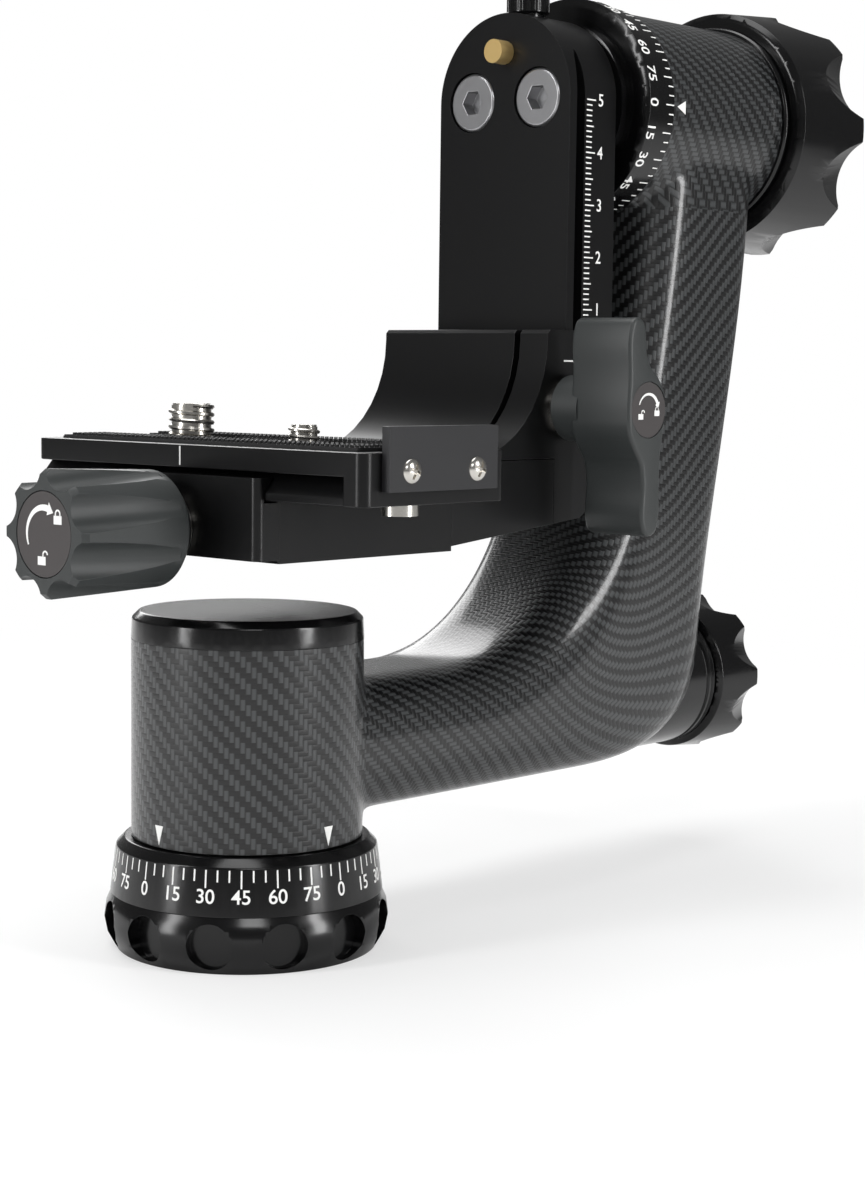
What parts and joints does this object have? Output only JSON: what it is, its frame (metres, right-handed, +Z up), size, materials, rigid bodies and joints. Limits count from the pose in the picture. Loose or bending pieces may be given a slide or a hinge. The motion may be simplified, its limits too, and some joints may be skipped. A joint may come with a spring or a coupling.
{
  "type": "gimbal tripod head",
  "caption": "Side-arm gimbal head for long lenses: pan base, hollow arm with elbow, tilt axis with dial, hanging rail, sliding platform and quick-release clamp with plate.",
  "frame": {"origin": "centre of the base ring's underside, on the pan axis", "axes": "+Z up along the pan axis; +X from the pan axis towards the upright and along the tilt axis; +Y along the lens"},
  "size_m": [0.2306, 0.0982, 0.2069],
  "materials": {
    "black_anodised": "black anodised, satin",
    "carbon": "carbon-fibre twill under clear resin",
    "steel": "stainless steel",
    "grey_plated": "grey plated steel",
    "grey_metal": "dark grey satin",
    "brass": "machined brass",
    "grey_plastic": "soft-touch moulded",
    "label": "printed disc",
    "rubber": "ribbed rubber"
  },
  "bodies": {
    "base": {"base_ring": "black_anodised", "pan_dial": "black_anodised", "base_screws": "steel", "pan_spindle": "black_anodised", "tripod_insert": "steel", "pan_spacer": "steel", "pan_bearing_inner_races": "steel", "pan_bearing_balls": "steel", "pan_washer": "steel", "pan_nut": "steel"},
    "arm": {"carbon_arm": "carbon", "pan_sleeve": "black_anodised", "top_cap": "black_anodised", "pan_bearing_outer_races": "steel", "pan_lock_bush": "black_anodised", "pan_lock_collar": "black_anodised", "tilt_sleeve": "black_anodised", "tilt_bearing_outer_races": "steel", "tilt_end_ring": "black_anodised", "friction_washer": "steel"},
    "pan_shoe": {"pan_brake_shoe": "brass"},
    "pan_lock": {"pan_lock_rod": "steel", "pan_lock_knob": "black_anodised"},
    "swing": {"tilt_spindle": "black_anodised", "tilt_dial": "black_anodised", "rail": "black_anodised", "rail_screws": "grey_plated", "tilt_bearing_inner_races": "steel", "tilt_bearing_balls": "steel"},
    "tilt_lock": {"tilt_lock_knob": "black_anodised"},
    "plunger": {"safety_plunger": "black_anodised"},
    "pin": {"safety_pin": "brass", "pin_dowel": "steel"},
    "platform": {"platform_bracket": "black_anodised", "clamp_body": "black_anodised", "joint_screws": "steel", "jaw_guide_pins": "steel"},
    "height_jaw": {"height_jaw": "black_anodised", "height_washer": "steel"},
    "lever": {"lever_knob": "grey_plastic", "lever_label": "label", "height_screw": "steel"},
    "clamp_jaw": {"clamp_jaw": "black_anodised", "clamp_guide_pins": "steel", "clamp_washer": "steel"},
    "clamp_knob": {"clamp_knob": "grey_plastic", "clamp_label": "label", "clamp_screw": "steel"},
    "plate": {"quick_plate": "black_anodised", "plate_pads": "rubber", "stop_flange": "grey_metal", "flange_screws": "steel", "plate_stop_screw": "steel"},
    "large_screw": {"large_camera_screw": "steel"},
    "small_screw": {"small_camera_screw": "steel"}
  },
  "joints": [
    {"name": "pan", "type": "hinge", "parent": "base", "child": "arm", "pos_m": [0, 0, 0.04], "axis": [0, 0, 1], "continuous": true},
    {"name": "tilt", "type": "hinge", "parent": "arm", "child": "swing", "pos_m": [0.1, 0, 0.1772], "axis": [1, 0, 0], "continuous": true},
    {"name": "pan_lock_turn", "type": "hinge", "parent": "arm", "child": "pan_lock", "pos_m": [0.13, 0, 0.0426], "axis": [1, 0, 0], "range_deg": [-90, 90]},
    {"name": "pan_shoe_slide", "type": "slide", "parent": "arm", "child": "pan_shoe", "axis": [-1, 0, 0], "range_m": [-0.0003, 0.0003]},
    {"name": "tilt_lock_turn", "type": "hinge", "parent": "swing", "child": "tilt_lock", "pos_m": [0.16, 0, 0.1772], "axis": [1, 0, 0], "range_deg": [0, 180]},
    {"name": "plunger_lift", "type": "slide", "parent": "swing", "child": "plunger", "axis": [0, 0, 1], "range_m": [0, 0.0042]},
    {"name": "pin_slide", "type": "slide", "parent": "swing", "child": "pin", "axis": [1, 0, 0], "range_m": [0, 0.0042]},
    {"name": "platform_slide", "type": "slide", "parent": "swing", "child": "platform", "axis": [0, 0, 1], "range_m": [0, 0.056]},
    {"name": "height_jaw_slide", "type": "slide", "parent": "platform", "child": "height_jaw", "axis": [0, -1, 0], "range_m": [0, 0.0005]},
    {"name": "lever_turn", "type": "hinge", "parent": "height_jaw", "child": "lever", "pos_m": [0.071, -0.03, 0.1095], "axis": [0, -1, 0], "range_deg": [0, 120]},
    {"name": "clamp_jaw_slide", "type": "slide", "parent": "platform", "child": "clamp_jaw", "axis": [-1, 0, 0], "range_m": [0, 0.0025]},
    {"name": "clamp_knob_turn", "type": "hinge", "parent": "clamp_jaw", "child": "clamp_knob", "pos_m": [-0.03, 0, 0.0862], "axis": [-1, 0, 0], "range_deg": [0, 720]},
    {"name": "plate_slide", "type": "slide", "parent": "platform", "child": "plate", "axis": [0, 1, 0], "range_m": [-0.012, 0.0125]},
    {"name": "large_screw_turn", "type": "hinge", "parent": "plate", "child": "large_screw", "pos_m": [0, 0.0174, 0.1], "axis": [0, 0, 1], "continuous": true},
    {"name": "small_screw_turn", "type": "hinge", "parent": "plate", "child": "small_screw", "pos_m": [0, -0.0159, 0.1], "axis": [0, 0, 1], "continuous": true}
  ],
  "couplings": [
    {"joint": "pan_shoe_slide", "follows": "pan_lock_turn", "m_per_rad": -0.00019099},
    {"joint": "pin_slide", "follows": "plunger_lift", "ratio": 1},
    {"joint": "lever_turn", "follows": "height_jaw_slide", "rad_per_m": 4188.8},
    {"joint": "clamp_knob_turn", "follows": "clamp_jaw_slide", "rad_per_m": 5026.5}
  ]
}
